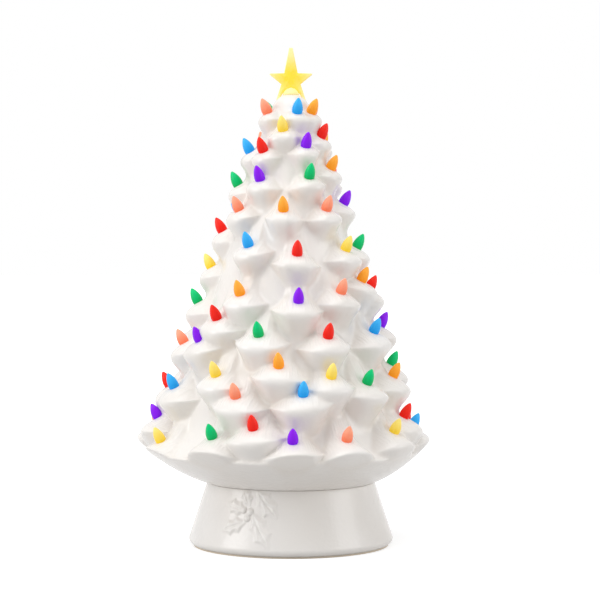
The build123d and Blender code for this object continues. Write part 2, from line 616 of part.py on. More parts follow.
def lead(*points):
    """Insulated wire along straight runs joined by tangent arcs."""
    route = FilletPolyline(*points, radius=LEAD_BEND)
    return sweep(Plane(route @ 0, z_dir=route % 0) * RegularPolygon(LEAD_RADIUS, LEAD_SIDES), route)


def rising_lead(x, y, z_start):
    """Lead from a terminal up to the post's window and inside the post to the board."""
    window_z = FLANGE_TOP + POST_WINDOW_RISE + POST_WINDOW_HEIGHT / 2
    inside_y = LEAD_SPACING if y > 0 else -LEAD_SPACING
    return lead((x, y, z_start), (x, y, window_z), (x, inside_y, window_z), (x, inside_y, HEAD_TOP))


def make_lead_return():
    """Lead from the roof of the battery well up to the board."""
    return rising_lead(LEAD_SPACING, WELL_OFFSET - WELL_WIDTH / 4, WELL_ROOF + WELL_WALL)


def make_lead_switched():
    """Lead from the switch up to the board."""
    return rising_lead(-LEAD_SPACING / 2, SWITCH_OFFSET, HOUSING_TOP)


def make_lead_battery():
    """Lead that lies on the plate from the side of the battery well round to the switch."""
    z = PLATE_TOP + LEAD_RADIUS + LEAD_LAY
    well_side = -WELL_LENGTH / 2 - WELL_WALL
    run_x = well_side - LEAD_DETOUR
    return lead(
        (well_side, WELL_OFFSET, z), (run_x, WELL_OFFSET, z),
        (run_x, SWITCH_OFFSET, z), (-HOUSING_LENGTH / 2, SWITCH_OFFSET, z),
    )


pieces = {
    "base_pedestal": make_base(),
    "foot_pad": make_foot_pad(),
    "base_plate": make_base_plate(),
    "battery_door": make_battery_door(),
    "plate_contacts": make_plate_contacts(),
    "leaf_contacts": make_leaf_contacts(),
    "switch_housing": make_switch_housing(),
    "switch_knob": make_switch_knob(),
    "light_post": make_light_post(),
    "post_screws": make_post_screws(),
    "led_board": make_led_board(),
    "leds": make_leds(),
    "diffuser": make_diffuser(),
    "lead_battery": make_lead_battery(),
    "lead_switched": make_lead_switched(),
    "lead_return": make_lead_return(),
    "tree_shell": make_tree_shell(),
    "star_topper": make_star(),
}
for index in range(CELL_COUNT):
    pieces[f"battery_{index + 1}"] = make_battery(index)
for colour in ("red", "orange", "yellow", "green", "blue", "purple", "salmon"):
    pieces[f"bulbs_{colour}"] = make_bulbs(colour)

os.makedirs("parts", exist_ok=True)
for name, piece in pieces.items():
    export_step(piece, f"parts/{name}.step")
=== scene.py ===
from math import cos, pi, radians, sin, tan

import bpy
import numpy as np
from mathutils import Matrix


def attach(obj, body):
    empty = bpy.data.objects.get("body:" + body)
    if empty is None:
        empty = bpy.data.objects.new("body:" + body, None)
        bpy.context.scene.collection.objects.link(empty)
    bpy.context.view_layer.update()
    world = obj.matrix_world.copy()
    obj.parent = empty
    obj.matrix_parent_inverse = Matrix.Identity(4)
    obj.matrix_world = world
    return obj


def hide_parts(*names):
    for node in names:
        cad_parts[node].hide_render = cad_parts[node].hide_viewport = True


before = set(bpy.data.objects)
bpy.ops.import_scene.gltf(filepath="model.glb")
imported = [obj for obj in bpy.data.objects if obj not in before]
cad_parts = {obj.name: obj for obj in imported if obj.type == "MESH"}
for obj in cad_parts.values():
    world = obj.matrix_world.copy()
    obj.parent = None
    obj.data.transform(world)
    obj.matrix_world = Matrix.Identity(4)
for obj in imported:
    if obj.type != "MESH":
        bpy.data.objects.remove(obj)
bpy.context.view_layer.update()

# A lit tabletop tree in white glazed earthenware. Shapes are worked out in millimetres, with Z up
# the tree's axis and the front towards -Y, and are written to the meshes in metres.
MM = 0.001

# Sizes that the solids have too
SEAT_Z = 78.0
SEAT_RADIUS = 102.0
MOUTH_RADIUS = 87.0
NECK_FOOT_Z = 540.0
NECK_TOP_Z = 552.0
STAR_HOLE_RADIUS = 4.4
RIDGE_ANGLE = radians(27)
BULB_LENGTH = 22.0
SEAT_SETBACK = 9.0
SEAT_SETBACK_GAIN = 0.058
BASE_TOP_RADIUS = 103.0


# Helpers

def linear(hex_colour):
    """Linear RGBA of an sRGB hex colour."""
    srgb = np.array([int(hex_colour[i:i + 2], 16) for i in (1, 3, 5)]) / 255
    rgb = np.where(srgb <= 0.04045, srgb / 12.92, ((srgb + 0.055) / 1.055) ** 2.4)
    return (*rgb.tolist(), 1.0)


def feed(tree, node, inputs):
    """Fill a node's sockets: each input is a plain value or the socket that it is linked to."""
    for key, value in inputs.items():
        if isinstance(value, bpy.types.NodeSocket):
            tree.links.new(value, node.inputs[key])
        else:
            node.inputs[key].default_value = value


def add(tree, kind, inputs=None, **settings):
    """Add a node with its settings, and feed its sockets."""
    node = tree.nodes.new(kind)
    for key, value in settings.items():
        setattr(node, key, value)
    feed(tree, node, inputs or {})
    return node


def new_material(name):
    """Node material, its tree and its main shader."""
    material = bpy.data.materials.new(name)
    material.use_nodes = True
    tree = material.node_tree
    return material, tree, tree.nodes["Principled BSDF"]


def smoothstep(low, high, x):
    """0 below low, 1 above high, with an even S-shaped ramp between."""
    t = np.clip((x - low) / (high - low), 0, 1)
    return t * t * (3 - 2 * t)


def grid_quads(rows, columns, close_rows=False):
    """Quads between neighbouring points of a grid whose columns run round a ring."""
    i = np.arange(rows if close_rows else rows - 1)[:, None]
    j = np.arange(columns)[None, :]
    below, above = i * columns, (i + 1) % rows * columns
    after = (j + 1) % columns
    corners = (below + j, below + after, above + after, above + j)
    return np.stack(np.broadcast_arrays(*corners), -1).reshape(-1, 4)


def add_piece(name, points, faces, material, body, slot, nodes, **attributes):
    """Mesh piece at the origin, riding on a body and standing for the named nodes."""
    mesh = bpy.data.meshes.new(name)
    mesh.from_pydata(points.reshape(-1, 3) * MM, [], faces.tolist())
    mesh.polygons.foreach_set("use_smooth", np.ones(len(mesh.polygons), bool))
    for key, values in attributes.items():
        layer = mesh.attributes.new(key, "FLOAT", "POINT")
        layer.data.foreach_set("value", np.ascontiguousarray(values, dtype=np.float32).ravel())
    mesh.materials.append(material)
    mesh.update()
    piece = bpy.data.objects.new(name, mesh)
    bpy.context.scene.collection.objects.link(piece)
    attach(piece, body)
    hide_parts(*nodes)


# Materials

def glazed_earthenware():
    """White tin glaze fired over slip-cast earthenware.

    It gives the eye a soft gloss that is a little uneven where the glaze ran, a painted shade, darker
    and warmer white, in the creases between the boughs, and faint brushed needles on their tops.
    """
    material, tree, shader = new_material("glazed_earthenware")
    place = add(tree, "ShaderNodeTexCoord").outputs["Object"]
    # Thicker and thinner glaze in patches 90 mm across, and painted shade: a darker, warmer white
    # in the hollows between the boughs
    patches = add(tree, "ShaderNodeTexNoise", {"Vector": place, "Scale": 1 / (90 * MM), "Detail": 1.0})
    hollow = add(tree, "ShaderNodeAttribute", attribute_name="hollow")
    patches_and_crease_shade = add(tree, "ShaderNodeMath", {0: patches.outputs["Fac"], 1: hollow.outputs["Fac"]},
               operation="ADD", use_clamp=True)
    colour = add(tree, "ShaderNodeValToRGB", {"Fac": patches_and_crease_shade.outputs[0]})
    thin, thick_and_shaded = colour.color_ramp.elements
    thin.position, thin.color = 0.2, linear("#F1EEEB")
    thick_and_shaded.position, thick_and_shaded.color = 1.0, linear("#E9E3DC")
    # Needles brushed into the mould, 3.6 mm apart, that wander over 18 mm
    across = add(tree, "ShaderNodeAttribute", attribute_name="across")
    needles = add(tree, "ShaderNodeAttribute", attribute_name="needles")
    wander = add(tree, "ShaderNodeTexNoise", {"Vector": place, "Scale": 1 / (18 * MM), "Detail": 2.0})
    phase = add(tree, "ShaderNodeMath",
                {0: wander.outputs["Fac"], 1: 9.0, 2: across.outputs["Fac"]},
                operation="MULTIPLY_ADD")
    stroke = add(tree, "ShaderNodeMath", {0: phase.outputs[0]}, operation="SINE")
    groove = add(tree, "ShaderNodeMath", {0: stroke.outputs[0], 1: needles.outputs["Fac"]},
                 operation="MULTIPLY")
    # Orange peel of the fired glaze, drawn at 6 mm so that it shows
    peel = add(tree, "ShaderNodeTexNoise", {"Vector": place, "Scale": 1 / (6 * MM), "Detail": 1.0})
    height = add(tree, "ShaderNodeMath", {0: groove.outputs[0], 1: 0.35, 2: peel.outputs["Fac"]},
                 operation="MULTIPLY_ADD")
    bump = add(tree, "ShaderNodeBump",
               {"Strength": 0.35, "Distance": 0.9 * MM, "Height": height.outputs[0]})
    feed(tree, shader, {"Base Color": colour.outputs["Color"], "Roughness": 0.27, "IOR": 1.52,
                        "Normal": bump.outputs["Normal"]})
    return material


def tinted_acrylic(name, deep, pale):
    """Clear-tinted acrylic, moulded and lit from its peg.

    It gives the eye a deep colour at the foot and a paler one towards the tip, the relief of small
    facets 3 mm across, painted sparkle in paler specks from them, and a faint glow of its own.
    """
    material, tree, shader = new_material(name)
    place = add(tree, "ShaderNodeTexCoord").outputs["Object"]
    rise = add(tree, "ShaderNodeAttribute", attribute_name="rise")
    facets_and_sparkle = add(tree, "ShaderNodeTexNoise", {"Vector": place, "Scale": 1 / (3 * MM), "Detail": 2.0})
    # The facet noise also pales the colour in specks: painted sparkle
    mix = add(tree, "ShaderNodeMath", {0: facets_and_sparkle.outputs["Fac"], 1: 0.35, 2: rise.outputs["Fac"]},
              operation="MULTIPLY_ADD", use_clamp=True)
    colour = add(tree, "ShaderNodeValToRGB", {"Fac": mix.outputs[0]})
    foot, tip = colour.color_ramp.elements
    foot.position, foot.color = 0.2, linear(deep)
    tip.position, tip.color = 0.9583, linear(pale)
    bump = add(tree, "ShaderNodeBump",
               {"Strength": 0.25, "Distance": 0.4 * MM, "Height": facets_and_sparkle.outputs["Fac"]})
    feed(tree, shader, {"Base Color": colour.outputs["Color"], "Roughness": 0.25, "IOR": 1.49,
                        "Specular IOR Level": 0.14, "Normal": bump.outputs["Normal"],
                        "Emission Color": colour.outputs["Color"], "Emission Strength": 0.25})
    return material


def grained(name, dark, light, grain_mm, rough, metallic=0.0, bump_mm=0.05, glow=0.0):
    """Plain made surface: two near shades in a fine grain, which also gives its relief and gloss."""
    material, tree, shader = new_material(name)
    place = add(tree, "ShaderNodeTexCoord").outputs["Object"]
    grain = add(tree, "ShaderNodeTexNoise",
                {"Vector": place, "Scale": 1 / (grain_mm * MM), "Detail": 3.0}).outputs["Fac"]
    # Sockets 6 and 7 take the two colours, and output 2 gives their mix
    colour = add(tree, "ShaderNodeMix", {"Factor": grain, 6: linear(dark), 7: linear(light)},
                 data_type="RGBA").outputs[2]
    relief = add(tree, "ShaderNodeBump",
                 {"Strength": 0.4, "Distance": bump_mm * MM, "Height": grain})
    spread = add(tree, "ShaderNodeMapRange",
                 {"Value": grain, "To Min": rough - 0.06, "To Max": rough + 0.06})
    feed(tree, shader, {"Base Color": colour, "Roughness": spread.outputs["Result"],
                        "Metallic": metallic, "Normal": relief.outputs["Normal"]})
    if glow:
        feed(tree, shader, {"Emission Color": colour, "Emission Strength": glow})
    return material


glaze = glazed_earthenware()


# Boughs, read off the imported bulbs

def node_points(name):
    """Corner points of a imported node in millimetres, and its triangles."""
    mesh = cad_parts[name].data
    points = np.empty(len(mesh.vertices) * 3)
    mesh.vertices.foreach_get("co", points)
    mesh.calc_loop_triangles()
    triangles = np.empty(len(mesh.loop_triangles) * 3, np.int32)
    mesh.loop_triangles.foreach_get("vertices", triangles)
    return points.reshape(-1, 3) / MM, triangles.reshape(-1, 3)


def separate_solids(points, triangles):
    """Corner points of each solid: coinciding corners are merged, and labels spread over triangles."""
    merged, index = np.unique(np.round(points, 3), axis=0, return_inverse=True)
    triangles = index.ravel()[triangles]
    labels = np.arange(len(merged))
    while True:
        spread = labels.copy()
        np.minimum.at(spread, triangles, labels[triangles].min(axis=1, keepdims=True))
        if np.array_equal(spread, labels):
            return [merged[labels == label] for label in np.unique(labels)]
        labels = spread


def read_boughs(node):
    """Rows of tip radius, tip height and azimuth: a bulb's foot lies a setback behind its bough's tip.

    The azimuth is the direction of a bulb's mean corner. Along the bulb's tilted axis the furthest
    corner is one bulb length from the foot, and across it the mean corner lies on the axis.
    """
    rows = []
    for corners in separate_solids(*node_points(node)):
        x, y, z = corners.T
        azimuth = np.arctan2(x.mean(), -y.mean())
        radius = x * sin(azimuth) - y * cos(azimuth)
        along = (radius * sin(RIDGE_ANGLE) + z * cos(RIDGE_ANGLE)).max() - BULB_LENGTH
        across = (radius * cos(RIDGE_ANGLE) - z * sin(RIDGE_ANGLE)).mean()
        foot_radius = along * sin(RIDGE_ANGLE) + across * cos(RIDGE_ANGLE)
        foot_z = along * cos(RIDGE_ANGLE) - across * sin(RIDGE_ANGLE)
        tip = (foot_radius + SEAT_SETBACK) / (1 - SEAT_SETBACK_GAIN)
        rows.append((tip, foot_z - (tip - foot_radius) * tan(RIDGE_ANGLE), azimuth))
    return np.array(rows)


# Foot and tip colour of each kind of bulb
COLOURS = {
    "red": ("#DC140A", "#E62C20"),
    "orange": ("#EE8A08", "#F3A640"),
    "yellow": ("#EEC414", "#F0D974"),
    "green": ("#00A050", "#08BC70"),
    "blue": ("#0E8CDC", "#3CAAEA"),
    "purple": ("#7410DA", "#861EDE"),
    "salmon": ("#EC6C46", "#F19E80"),
}
boughs_of = {colour: read_boughs(f"bulbs_{colour}") for colour in COLOURS}
boughs = np.concatenate(list(boughs_of.values()))


# Tree

TREE_COLUMNS = 452
TREE_ROWS = 200
FINE_STEPS = 1300
CURVE_WEIGHT = 10
CURVE_LIMIT = 0.35

# Trunk, as heights and radii, and the cone in it that the boughs grow from
TRUNK_PROFILE = np.array([
    (SEAT_Z, 150), (97, 168), (112, 170), (117, 166.5), (121, 159), (131, 146), (147, 136.5),
    (NECK_FOOT_Z, 22), (544.5, 19.2), (548.5, 15.2), (551, 11.8), (NECK_TOP_Z, 9.6),
])
TRUNK_LEAN = 0.055
CORE_TOP_RADIUS = 18.5
CORE_SLOPE = 0.28

# Bowl under the skirt
BOWL_START = 3.0
BOWL_POWER = 0.6
BOWL_RISE = 53.0
BOWL_REACH = 82.0
BOWL_LEAN = 0.12
BOWL_SOFTNESS = 1.4

# Plan of a bough: its breadth, how its rim draws in, and how it flares above and tapers below
BOUGH_SPREAD = 14.0
BOUGH_SPREAD_GAIN = 0.13
BREADTH = 1.1
BREADTH_VARIATION = 0.08
CHORD_SHARE = 0.96
ROOT_DEPTH = 4
PLAN_POWER = 3.0
NOTCH_SHARE = 0.5
FLARE_HEIGHT = 22.0
FLARE_LIMIT = 0.6
TAPER_HEIGHT = 60.0

# Lip of a bough, which hangs over and below its tip
RIM_SOFTNESS = 2.4
RIM_SOFTNESS_GAIN = 0.006
RIM_FILL = 0.45
RIM_RISE = 1.5
LIP = 4.5
LIP_DROP = 5.0
LEAST_NOSE = 0.3
LIP_LIFT = 2.0
LIP_WAVE = 4.0
LIP_TILT = 0.08
OVERHANG = 5.5
OVERHANG_LEAN = 0.4
FULL_SIZE = 130.0

# Skirt, the lowest row, whose lips droop and are softer
SKIRT_Z = 138
SECOND_ROW_Z = 150
SKIRT_DROOP = 10.0
SKIRT_SOFTNESS = 1.5
SKIRT_LEFT_OVERHANG = 4.0

# Top and underside of a bough
SEAT_FLAT = 6.0
SEAT_PAST = 5
CURL = 2.8
SINK_FROM = 20.0
SINK_LENGTH = 60.0
UNDER_ANGLE = radians(48)
WINDOW_WIDTHS = 1.7
WINDOW_BELOW = 75
WINDOW_ABOVE = 90
UNION_SOFTNESS = 4.5

# Needles and ribs on the tops, the bare neck, and slow swells of the glaze
STROKE_PITCH = 3.6
RIB_PITCH = 8.0
RIB_HEIGHT = 0.55
NECK_CLEARANCE = 16.0
NECK_CLEAR_Z = (528, 546)
SWELL_HEIGHT = 0.35


def core_radius(z):
    """Straight cone behind the boughs."""
    return CORE_TOP_RADIUS + (NECK_FOOT_Z - z) * CORE_SLOPE


def trunk_radius(theta, z):
    """Trunk between the boughs: a leaning cone, flared to the bowl's rim, that ends in a blunt dome."""
    upright = np.interp(z, TRUNK_PROFILE[:, 0], TRUNK_PROFILE[:, 1])
    lean = TRUNK_LEAN * np.sin(theta) * smoothstep(NECK_FOOT_Z, NECK_FOOT_Z - 60, z)
    return upright * (1 - lean)


def bowl_radius(theta, z):
    """Smooth underside: radius grows as a power of the height over a line a little below the seat."""
    start = BOWL_START ** BOWL_POWER
    full = (BOWL_RISE + BOWL_START) ** BOWL_POWER
    share = ((z - SEAT_Z + BOWL_START) ** BOWL_POWER - start) / (full - start)
    return SEAT_RADIUS + BOWL_REACH * share * (1 - BOWL_LEAN * np.sin(theta))


def ridge_inset(dz, drop, nose, straight, curl):
    """How far a bough's top lies behind its rim at a height dz above it.

    From the rim the top rises over a rounded nose, which slows down by a square to the ridge angle,
    goes on straight past the bulb's seat, and then rises ever steeper, by curl times the square of the
    distance, like a ski jump. This is that curve turned round.
    """
    slope = tan(RIDGE_ANGLE)
    steep = slope + 2 * drop / nose
    bend = drop / nose ** 2
    over = drop + slope * nose
    past = np.clip(dz - drop - slope * straight, 0, None)
    curved = (np.sqrt(slope ** 2 + 4 * curl * past) - slope) / (2 * curl)
    rounded = (steep - np.sqrt(steep ** 2 - 4 * bend * np.minimum(dz, over))) / (2 * bend)
    return np.where(dz < over, rounded, np.minimum(dz - drop, slope * straight) / slope + curved)


def bough_field(theta, z, bough, variation):
    """Radius of one bough in its window of the grid, the distance across it, and its brushed share.

    Across the bough the rim draws in as a power of the distance, and curls up or droops by its square.
    Above the rim lies the ski-jump top, which sinks back by a square higher up, and below it a raked
    underside. Rim, top and underside are joined by a soft minimum, which makes a blunt lip. Ribs on
    the top are a sine across the bough.
    """
    tip, height, azimuth = bough
    wide, curled, tilted, phase = variation
    half_width = (BOUGH_SPREAD + BOUGH_SPREAD_GAIN * tip) * (BREADTH + BREADTH_VARIATION * wide)
    depth = tip - core_radius(height) + ROOT_DEPTH
    raised = smoothstep(SKIRT_Z, SECOND_ROW_Z, height)
    softness = RIM_SOFTNESS + RIM_SOFTNESS_GAIN * tip + SKIRT_SOFTNESS * (1 - raised)
    grown = min(tip / FULL_SIZE, 1)
    overhang = OVERHANG * grown * (1 - OVERHANG_LEAN * raised * (1 - sin(azimuth)))
    overhang += SKIRT_LEFT_OVERHANG * (1 - raised) * max(-sin(azimuth), 0) ** 2
    level = overhang * tan(RIDGE_ANGLE) - RIM_RISE
    lowered = max(LIP_DROP * grown * raised, level + LEAST_NOSE)

    turn = (theta - azimuth + pi) % (2 * pi) - pi
    columns = np.flatnonzero(np.abs(turn) < WINDOW_WIDTHS * half_width / tip)
    rows = np.flatnonzero((z > height - WINDOW_BELOW) & (z < height + WINDOW_ABOVE))
    y = CHORD_SHARE * tip * np.sin(turn[columns])
    u = np.abs(y) / half_width

    bow = LIP_LIFT + LIP_WAVE * curled - SKIRT_DROOP * (1 - raised)
    rim = height - lowered + bow * grown * u ** 2 + LIP_TILT * tilted * y
    dz = z[rows][:, None] - rim[None, :]
    flare = FLARE_LIMIT * np.tanh(dz / FLARE_HEIGHT / FLARE_LIMIT)
    pinch = 1 + np.where(dz > 0, flare, -dz / TAPER_HEIGHT)
    notch = NOTCH_SHARE * depth * (u * pinch) ** PLAN_POWER
    reach = tip + overhang + RIM_FILL * softness - notch
    setback = SEAT_SETBACK + SEAT_SETBACK_GAIN * tip + overhang
    sink = np.clip(dz - lowered - SINK_FROM, 0, None) ** 2 / SINK_LENGTH
    nose, straight = setback - SEAT_FLAT, setback + SEAT_PAST
    top = ridge_inset(dz, lowered - level, nose, straight, CURL / depth) + sink
    under = -(dz + LIP) / tan(UNDER_ANGLE)
    field = reach - softness * np.logaddexp(np.logaddexp(top / softness, under / softness), 0)

    brushed = smoothstep(1, 7, dz) * smoothstep(1.15, 0.8, u)
    ribs = np.sin(2 * pi * y / RIB_PITCH + 3 * phase) * smoothstep(0.12, 0.4, u)
    neck = NECK_CLEARANCE * smoothstep(*NECK_CLEAR_Z, z[rows])[:, None]
    field += RIB_HEIGHT * brushed * ribs - neck
    return np.ix_(rows, columns), field, y, brushed


def tree_field(theta, z):
    """Radius of the tree's outside on a grid of azimuth and height, with its brush marks and hollows.

    All boughs and the trunk are joined by a soft maximum. Where that stands above the greatest of them
    lies a hollow. Swells of the glaze, one sine winding round the tree and one up it, are added. The
    bowl below is joined by a soft minimum.
    """
    shape = (len(z), len(theta))
    union = trunk_radius(theta, z[:, None]) / UNION_SOFTNESS
    best = union * UNION_SOFTNESS
    across = np.zeros(shape)
    strokes = np.zeros(shape)
    vary = np.random.default_rng(12)
    for bough in boughs:
        window, field, y, brushed = bough_field(theta, z, bough, vary.uniform(-1, 1, 4))
        union[window] = np.logaddexp(union[window], field / UNION_SOFTNESS)
        leads = field > best[window]
        best[window] = np.where(leads, field, best[window])
        across[window] = np.where(leads, 2 * pi * y / STROKE_PITCH, across[window])
        strokes[window] = np.where(leads, brushed, strokes[window])
    radius = union * UNION_SOFTNESS
    hollow = (radius - best) / UNION_SOFTNESS
    strokes *= smoothstep(0.5, 0.1, hollow)
    winding = np.sin(5 * theta[None, :] + 0.045 * z[:, None])
    rising = np.sin(0.11 * z[:, None] + 2 * np.cos(theta))
    below_neck = smoothstep(NECK_TOP_Z - 4, NECK_TOP_Z - 30, z)[:, None]
    radius = radius + SWELL_HEIGHT * (winding * rising) * below_neck
    bowl = bowl_radius(theta, z[:, None])
    radius = -BOWL_SOFTNESS * np.logaddexp(-radius / BOWL_SOFTNESS, -bowl / BOWL_SOFTNESS)
    return radius, across, strokes, hollow


def spread_rows(z, radius):
    """Row heights for each column: steps of even weight, where tight curves weigh more than runs."""
    slope = np.gradient(radius, z, axis=0)
    bend = np.abs(np.gradient(np.arctan(slope), z, axis=0)) / np.sqrt(1 + slope ** 2)
    weight = np.sqrt(1 + slope ** 2) * (1 + CURVE_WEIGHT * np.minimum(bend, CURVE_LIMIT))
    for shift in (1, 2):
        weight = (weight + np.roll(weight, shift, 1) + np.roll(weight, -shift, 1)) / 3
    total = np.cumsum(weight, axis=0)
    total = (total - total[0]) / (total[-1] - total[0])
    even = np.linspace(0, 1, TREE_ROWS)
    return np.stack([np.interp(even, total[:, j], z) for j in range(radius.shape[1])], axis=1)


# Radii and heights of the casting's inside, from the neck down through the hollow to the seat
TREE_INSIDE = np.array([
    (7.0, NECK_TOP_Z), (STAR_HOLE_RADIUS, NECK_TOP_Z - 0.2), (STAR_HOLE_RADIUS, 536), (12, 533.6),
    (40, 440), (72, 330), (104, 218), (132.6, 117), (145, 104), (124, 92), (103, 84.3), (88, 84),
    (MOUTH_RADIUS, 83), (MOUTH_RADIUS, SEAT_Z + 0.5), (MOUTH_RADIUS + 0.5, SEAT_Z),
    (SEAT_RADIUS - 1, SEAT_Z),
])


def tree_shell():
    """The casting as one closed skin: the bough field outside, then the neck, hollow, mouth and seat.

    Point (r, azimuth, z) stands at (r sin azimuth, -r cos azimuth, z).
    """
    theta = np.linspace(0, 2 * pi, TREE_COLUMNS, endpoint=False)
    fine = np.linspace(SEAT_Z, NECK_TOP_Z, FINE_STEPS)
    radius, across, strokes, hollow = tree_field(theta, fine)
    heights = spread_rows(fine, radius)

    def at_rows(values):
        """Values on the fine grid, read at each column's row heights."""
        columns = [np.interp(heights[:, j], fine, values[:, j]) for j in range(TREE_COLUMNS)]
        return np.stack(columns, axis=1)

    ring = np.ones(TREE_COLUMNS)
    r = np.concatenate([at_rows(radius), TREE_INSIDE[:, :1] * ring])
    z = np.concatenate([heights, TREE_INSIDE[:, 1:] * ring])
    points = np.stack([r * np.sin(theta), -r * np.cos(theta), z], axis=-1)
    blank = np.zeros((len(TREE_INSIDE), TREE_COLUMNS))
    marks = {
        "across": np.concatenate([at_rows(across), blank]),
        "needles": np.concatenate([at_rows(strokes), blank]),
        # The hollow mark darkens and warms the glaze in the creases between boughs: painted shade
        "hollow": np.concatenate([np.clip(at_rows(hollow), 0, 1) * 0.5, blank]),
    }
    quads = grid_quads(len(r), TREE_COLUMNS, close_rows=True)
    add_piece("tree", points, quads, glaze, "tree", "white_glaze", ["tree_shell"], **marks)


tree_shell()


# Bulbs

BULB_SEGMENTS = 14
# Rise along the axis and radius, from the peg's end to the flame's tip
BULB_PROFILE = np.array([
    (-9.0, 0.01), (-9.0, 3.0), (-0.2, 3.0), (0.0, 5.0), (0.7, 5.9), (3.0, 6.5), (6.0, 6.65),
    (9.5, 6.25), (13.0, 5.3), (16.4, 3.9), (19.0, 2.4), (20.7, 1.1), (21.2, 0.01),
])


def bulb_set(colour):
    """All bulbs of a colour: a flame profile turned about an axis that tilts out by the ridge angle."""
    tip, height, azimuth = boughs_of[colour].T[:, :, None, None]
    setback = SEAT_SETBACK + SEAT_SETBACK_GAIN * tip
    turn = np.linspace(0, 2 * pi, BULB_SEGMENTS, endpoint=False)[None, None, :]
    rise = BULB_PROFILE[:, 0][None, :, None]
    wide = BULB_PROFILE[:, 1][None, :, None]
    out, side = wide * np.cos(turn), wide * np.sin(turn)
    radial = tip - setback + out * cos(RIDGE_ANGLE) + rise * sin(RIDGE_ANGLE)
    foot = height + setback * tan(RIDGE_ANGLE)
    z = foot - out * sin(RIDGE_ANGLE) + rise * cos(RIDGE_ANGLE)
    x = radial * np.sin(azimuth) + side * np.cos(azimuth)
    y = -radial * np.cos(azimuth) + side * np.sin(azimuth)
    points = np.stack(np.broadcast_arrays(x, y, z), axis=-1)
    rings = len(BULB_PROFILE)
    starts = np.arange(len(points)) * rings * BULB_SEGMENTS
    quads = (starts[:, None, None] + grid_quads(rings, BULB_SEGMENTS)[None]).reshape(-1, 4)
    level = np.broadcast_to(np.clip(rise / BULB_LENGTH, 0, 1), points.shape[:-1])
    material = tinted_acrylic(f"acrylic_{colour}", *COLOURS[colour])
    add_piece(f"bulbs_lit_{colour}", points, quads, material, "tree", f"bulb_{colour}",
              [f"bulbs_{colour}"], rise=level)


for colour in COLOURS:
    bulb_set(colour)


# Star

# Right half of the outline, as distances from the axis and heights over the neck
STAR_SIDE = (
    (2.1, 58.0), (8.3, 27.0), (25.4, 26.6), (26.3, 25.2), (11.8, 13.4), (18.2, -6.0), (17.2, -7.0),
    (11.0, 0.5), (8.0, 5.0), (4.2, 8.2),
)
STAR_ARCH = (0.0, 9.2)
STAR_HUB_RISE = 22.0
STAR_STEPS = 7
# Each ring's share of the outline and its height over the star's middle plane
STAR_EDGE = np.array([(1.0, 0.0), (0.985, 0.9), (0.95, 1.3)])
STAR_FACE_RINGS = 6
STAR_CROWN = 0.8
PLUG_SEGMENTS = 28
# Radii and heights of the plug, from its peg to the dome in the star's arch
PLUG_PROFILE = np.array([
    (0.01, -18), (4.1, -18), (4.1, 0.1), (9.8, 0.1), (9.5, 2.5), (8.3, 4.8), (6.3, 6.8), (3.4, 8.4),
    (0.01, 8.8),
])


def star():
    """Flat star on a turned plug.

    The outline, drawn from corner to corner, is shrunk to the hub in rings for both faces. The face
    swells from a thin rounded edge to a low crown at the hub. The plug is a profile turned about the
    axis.
    """
    right = np.array(STAR_SIDE)
    corners = np.concatenate([right, [STAR_ARCH], right[::-1] * (-1, 1)])
    share = np.arange(STAR_STEPS)[None, :, None] / STAR_STEPS
    outline = corners[:, None] * (1 - share) + np.roll(corners, -1, 0)[:, None] * share
    outline = outline.reshape(-1, 2)
    hub = np.array((0, STAR_HUB_RISE))
    swell = STAR_EDGE[-1, 1] + STAR_CROWN * np.linspace(0.1, 1.0, STAR_FACE_RINGS)
    scale = np.concatenate([STAR_EDGE[:, 0], np.linspace(0.86, 0.0, STAR_FACE_RINGS)])
    lift = np.concatenate([STAR_EDGE[:, 1], swell])
    front = hub + scale[:, None, None] * (outline - hub)
    flat = np.concatenate([front[::-1], front[1:]])
    y = np.concatenate([-lift[::-1], lift[1:]])[:, None] * np.ones(len(outline))
    points = np.stack([flat[..., 0], y, flat[..., 1] + NECK_TOP_Z], axis=-1)
    from_hub = np.hypot(flat[..., 0], flat[..., 1] - STAR_HUB_RISE)
    from_arch = np.hypot(flat[..., 0], flat[..., 1] + 3)
    pale = 0.9 * smoothstep(2, 36, from_hub) * smoothstep(10, 16, from_arch)
    quads = grid_quads(len(points), len(outline))[:, ::-1]
    material = tinted_acrylic("acrylic_star", "#F4D440", "#F7E6A0")
    add_piece("star", points, quads, material, "star", "star_yellow", ["star_topper"], rise=pale)
    turn = np.linspace(0, 2 * pi, PLUG_SEGMENTS, endpoint=False)[None, :]
    r, z = PLUG_PROFILE[:, :1], PLUG_PROFILE[:, 1:]
    turned = np.broadcast_arrays(r * np.cos(turn), r * np.sin(turn), z + NECK_TOP_Z)
    plug = np.stack(turned, axis=-1)
    add_piece("star_plug", plug, grid_quads(len(PLUG_PROFILE), PLUG_SEGMENTS), material, "star",
              "star_yellow", ["star_topper"], rise=np.full(plug.shape[:2], 0.85))


star()


# Base

# Foot, tip and half width of each leaf, and place and radius of each berry. A place is millimetres
# round the unrolled side from the front, and height over the table.
HOLLY_LEAVES = (
    ((-44, 78), (-15, 46), 13.5),
    ((-47, 52), (-23, 11), 13.5),
    ((-53, 42), (-86, 29), 11.5),
    ((-54, 53), (-87, 61), 10.5),
    ((-51, 59), (-63, 79), 9.5),
)
HOLLY_BERRIES = ((-59, 55, 4.2), (-50, 53, 4.6), (-53, 46, 4.2), (-32, 50, 2.6))
UNROLL_RADIUS = 112
LEAF_HEIGHT = 2.4
LEAF_LOBES = 3
LEAF_FULLNESS = 0.75
LOBE_DEPTH = 0.3
BEVEL = (-0.8, 6.0)
MIDRIB_DEPTH = 0.5
MIDRIB_WIDTH = 1.4
VEIN_DEPTH = 0.1
VEIN_SLANT = 0.9
BERRY_BULGE = 0.75

